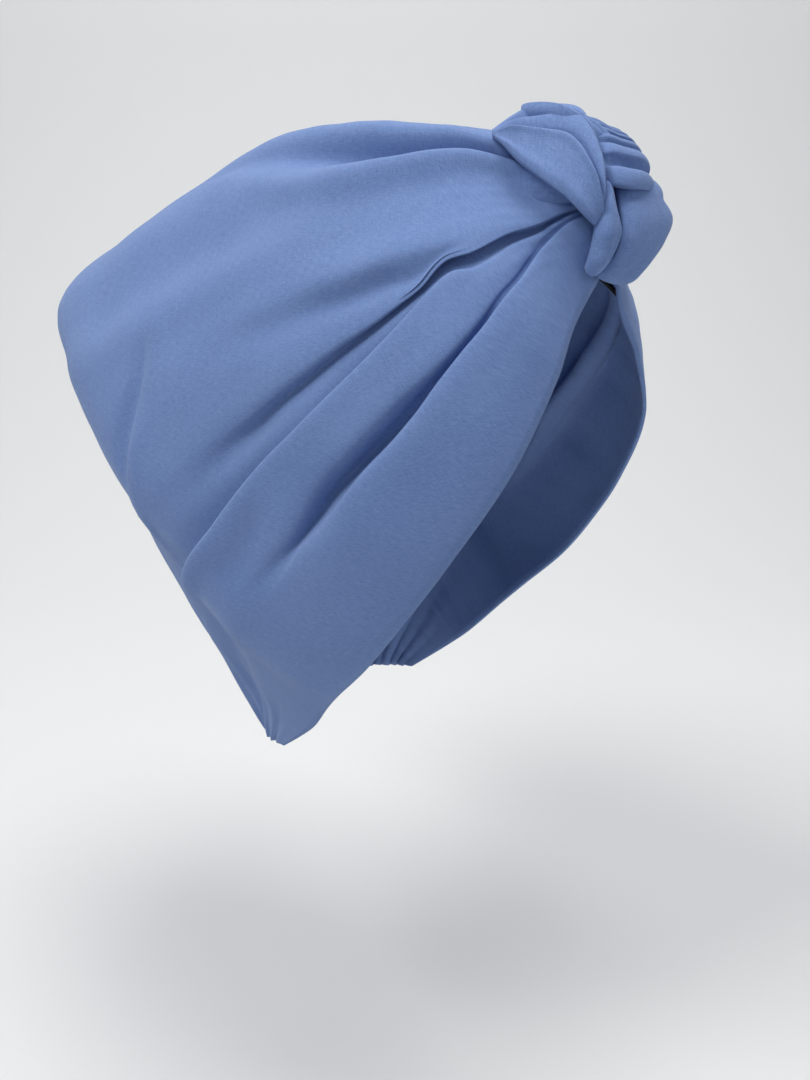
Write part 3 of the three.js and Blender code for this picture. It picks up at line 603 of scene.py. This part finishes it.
# Materials
WEAVE_TONE = 0.05
SLUB_TONE = 0.8
BROAD_TONE = 0.35
RELIEF_DEPTH = 0.00035


def new_material(name):
    material = bpy.data.materials.new(name)
    material.use_nodes = True
    tree = material.node_tree
    tree.nodes.clear()
    out = tree.nodes.new("ShaderNodeOutputMaterial")
    shader = tree.nodes.new("ShaderNodeBsdfPrincipled")
    tree.links.new(shader.outputs[0], out.inputs[0])
    return material, tree, shader


def node(tree, kind, **values):
    made = tree.nodes.new(kind)
    for key, value in values.items():
        setattr(made, key, value)
    return made


def maths(tree, op, a, b=None, clamp=False):
    made = node(tree, "ShaderNodeMath", operation=op, use_clamp=clamp)
    for socket, value in zip(made.inputs, (a, b)):
        if value is None:
            continue
        if isinstance(value, (int, float)):
            socket.default_value = value
        else:
            tree.links.new(value, socket)
    return made.outputs[0]


def cloth_material(name, dark, mid, light, thread=0.0027, bump=0.3):
    """Plain-woven cloth: crossing threads with uneven thickness, over a soft colour variation."""
    material, tree, shader = new_material(name)
    coords = node(tree, "ShaderNodeUVMap", uv_map="cloth")
    split = node(tree, "ShaderNodeSeparateXYZ")
    # The threads wander a little.
    wander = node(tree, "ShaderNodeTexNoise", noise_dimensions="2D")
    wander.inputs["Scale"].default_value = 9.0
    wander.inputs["Detail"].default_value = 2.0
    tree.links.new(coords.outputs[0], wander.inputs["Vector"])
    drift = node(tree, "ShaderNodeVectorMath", operation="MULTIPLY_ADD")
    tree.links.new(wander.outputs["Color"], drift.inputs[0])
    drift.inputs[1].default_value = (0.006, 0.006, 0)
    tree.links.new(coords.outputs[0], drift.inputs[2])
    tree.links.new(drift.outputs[0], split.inputs[0])
    u, v = split.outputs[0], split.outputs[1]
    k = math.pi / thread
    warp = maths(tree, "SINE", maths(tree, "MULTIPLY", u, k))
    weft = maths(tree, "SINE", maths(tree, "MULTIPLY", v, k))
    weave = maths(tree, "MULTIPLY", warp, weft)
    # Slubs: long thin streaks in both directions.
    streaks = []
    for scale in ((230.0, 30.0), (30.0, 230.0)):
        grow = node(tree, "ShaderNodeVectorMath", operation="MULTIPLY")
        grow.inputs[1].default_value = (scale[0], scale[1], 1)
        tree.links.new(drift.outputs[0], grow.inputs[0])
        noise = node(tree, "ShaderNodeTexNoise", noise_dimensions="2D")
        noise.inputs["Scale"].default_value = 1.0
        noise.inputs["Detail"].default_value = 1.0
        tree.links.new(grow.outputs[0], noise.inputs["Vector"])
        streaks.append(noise.outputs[0])
    slub = maths(tree, "ADD", streaks[0], streaks[1])
    broad = node(tree, "ShaderNodeTexNoise", noise_dimensions="2D")
    broad.inputs["Scale"].default_value = 2.2
    broad.inputs["Detail"].default_value = 3.0
    tree.links.new(coords.outputs[0], broad.inputs["Vector"])
    tone = maths(tree, "ADD", maths(tree, "MULTIPLY", weave, WEAVE_TONE),
                 maths(tree, "MULTIPLY", maths(tree, "SUBTRACT", slub, 1.0), SLUB_TONE))
    patches = maths(tree, "SUBTRACT", broad.outputs[0], 0.5)
    tone = maths(tree, "ADD", tone, maths(tree, "MULTIPLY", patches, BROAD_TONE))
    tone = maths(tree, "ADD", tone, 0.5, clamp=True)
    ramp = node(tree, "ShaderNodeValToRGB")
    ramp.color_ramp.elements[0].position = 0.15
    ramp.color_ramp.elements[0].color = (*dark, 1)
    ramp.color_ramp.elements[1].position = 0.85
    ramp.color_ramp.elements[1].color = (*light, 1)
    middle = ramp.color_ramp.elements.new(0.5)
    middle.color = (*mid, 1)
    tree.links.new(tone, ramp.inputs[0])
    tree.links.new(ramp.outputs[0], shader.inputs["Base Color"])
    height = maths(tree, "ADD", maths(tree, "MULTIPLY", weave, 0.5), maths(tree, "MULTIPLY", slub, 0.9))
    relief = node(tree, "ShaderNodeBump")
    relief.inputs["Strength"].default_value = bump
    relief.inputs["Distance"].default_value = RELIEF_DEPTH
    tree.links.new(height, relief.inputs["Height"])
    tree.links.new(relief.outputs[0], shader.inputs["Normal"])
    rough = maths(tree, "ADD", maths(tree, "MULTIPLY", weave, 0.04), 0.82)
    tree.links.new(rough, shader.inputs["Roughness"])
    shader.inputs["Sheen Weight"].default_value = 0.26
    shader.inputs["Sheen Roughness"].default_value = 0.45
    shader.inputs["Sheen Tint"].default_value = (0.72, 0.78, 0.92, 1)
    shader.inputs["Specular IOR Level"].default_value = 0.22
    return material


blue = cloth_material("blue_plain_weave",
                      (0.126, 0.205, 0.434), (0.153, 0.239, 0.482), (0.184, 0.278, 0.532))
# Painted shade: the near-black colour of the sheet under the knot stands for the shade in the hollow
# there.
painted_shade_black = cloth_material("brow_painted_shade",
                       (0.004, 0.004, 0.005), (0.008, 0.008, 0.010), (0.014, 0.014, 0.016), bump=0.2)

crown.data.materials.append(blue)
knot.data.materials.append(blue)
brow.data.materials.append(painted_shade_black)

for piece in (crown, knot, brow):
    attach(piece, "root")
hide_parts("crown")
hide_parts("knot_loop", "knot_loop_far", "knot_pleats", "knot_tuck", "knot_tail", "knot_core")
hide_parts("brow_band")

# Camera, fitted to the photograph
CAMERA_PLACE = (-0.3350, -0.2346, 0.1329)
CAMERA_PITCH = 20.29
CAMERA_YAW = -52.90
FOCAL_PIXELS = 1004.0
PHOTO_HEIGHT = 1080.0
SENSOR = 36.0

# Floor and backdrop, in metres
FLOOR_Z = -0.30
FLOOR_FRONT = -2.2
CURVE_START = 0.55
CURVE_RADIUS = 0.6
CURVE_STEPS = 12
BACK_TOP = 2.6
STAGE_HALF = 3.0


def backdrop():
    profile = [(FLOOR_FRONT, FLOOR_Z), (CURVE_START, FLOOR_Z)]
    for i in range(1, CURVE_STEPS + 1):
        a = math.pi / 2 * i / CURVE_STEPS
        out = CURVE_START + CURVE_RADIUS * math.sin(a)
        profile.append((out, FLOOR_Z + CURVE_RADIUS * (1 - math.cos(a))))
    profile.append((CURVE_START + CURVE_RADIUS, BACK_TOP))
    points, faces = [], []
    turn = Matrix.Rotation(math.radians(CAMERA_YAW), 3, "Z")
    for y, z in profile:
        for x in (-STAGE_HALF, STAGE_HALF):
            points.append(list(turn @ Vector((x, y, z))))
    for i in range(len(profile) - 1):
        faces.append([2 * i, 2 * i + 1, 2 * i + 3, 2 * i + 2])
    mesh = bpy.data.meshes.new("backdrop")
    mesh.from_pydata(points, [], faces)
    mesh.polygons.foreach_set("use_smooth", [True] * len(mesh.polygons))
    obj = bpy.data.objects.new("backdrop", mesh)
    bpy.context.scene.collection.objects.link(obj)
    material, tree, shader = new_material("pale_backdrop")
    shader.inputs["Base Color"].default_value = (0.80, 0.80, 0.80, 1)
    shader.inputs["Roughness"].default_value = 0.9
    shader.inputs["Specular IOR Level"].default_value = 0.1
    mesh.materials.append(material)


backdrop()


def area_light(name, place, target, size, watts, colour=(1, 1, 1)):
    data = bpy.data.lights.new(name, "AREA")
    data.energy = watts
    data.size = size
    data.color = colour
    obj = bpy.data.objects.new(name, data)
    obj.location = place
    obj.rotation_mode = "QUATERNION"
    obj.rotation_quaternion = (Vector(target) - Vector(place)).to_track_quat("-Z", "Y")
    bpy.context.scene.collection.objects.link(obj)


area_light("key", (-0.88, 0.36, 1.32), (0, 0.03, 0.02), 0.6, 14.5, (1.0, 0.985, 0.95))
area_light("top", (0.05, -0.12, 1.5), (0, 0, 0.05), 0.7, 13.5, (1.0, 0.985, 0.95))
area_light("front", (0.1, -1.40, 0.75), (0, 0, 0), 1.0, 3.6)
area_light("rim", (0.8, 0.9, 0.8), (0, 0.05, 0.05), 0.8, 4)

world = bpy.data.worlds.new("studio")
world.use_nodes = True
world.node_tree.nodes["Background"].inputs[0].default_value = (0.74, 0.85, 1.0, 1)
world.node_tree.nodes["Background"].inputs[1].default_value = 0.24
bpy.context.scene.world = world
bpy.context.scene.view_settings.view_transform = "Standard"

camera_data = bpy.data.cameras.new("camera")
camera_data.lens = SENSOR * FOCAL_PIXELS / PHOTO_HEIGHT
camera_data.sensor_width = SENSOR
camera = bpy.data.objects.new("camera", camera_data)
bpy.context.scene.collection.objects.link(camera)
camera.location = CAMERA_PLACE
pitch = math.radians(CAMERA_PITCH)
yaw = math.radians(CAMERA_YAW)
forward = Vector((-math.sin(yaw) * math.cos(pitch), math.cos(yaw) * math.cos(pitch), -math.sin(pitch)))
camera.rotation_mode = "QUATERNION"
camera.rotation_quaternion = forward.to_track_quat("-Z", "Y")
bpy.context.scene.camera = camera

bpy.context.view_layer.update()
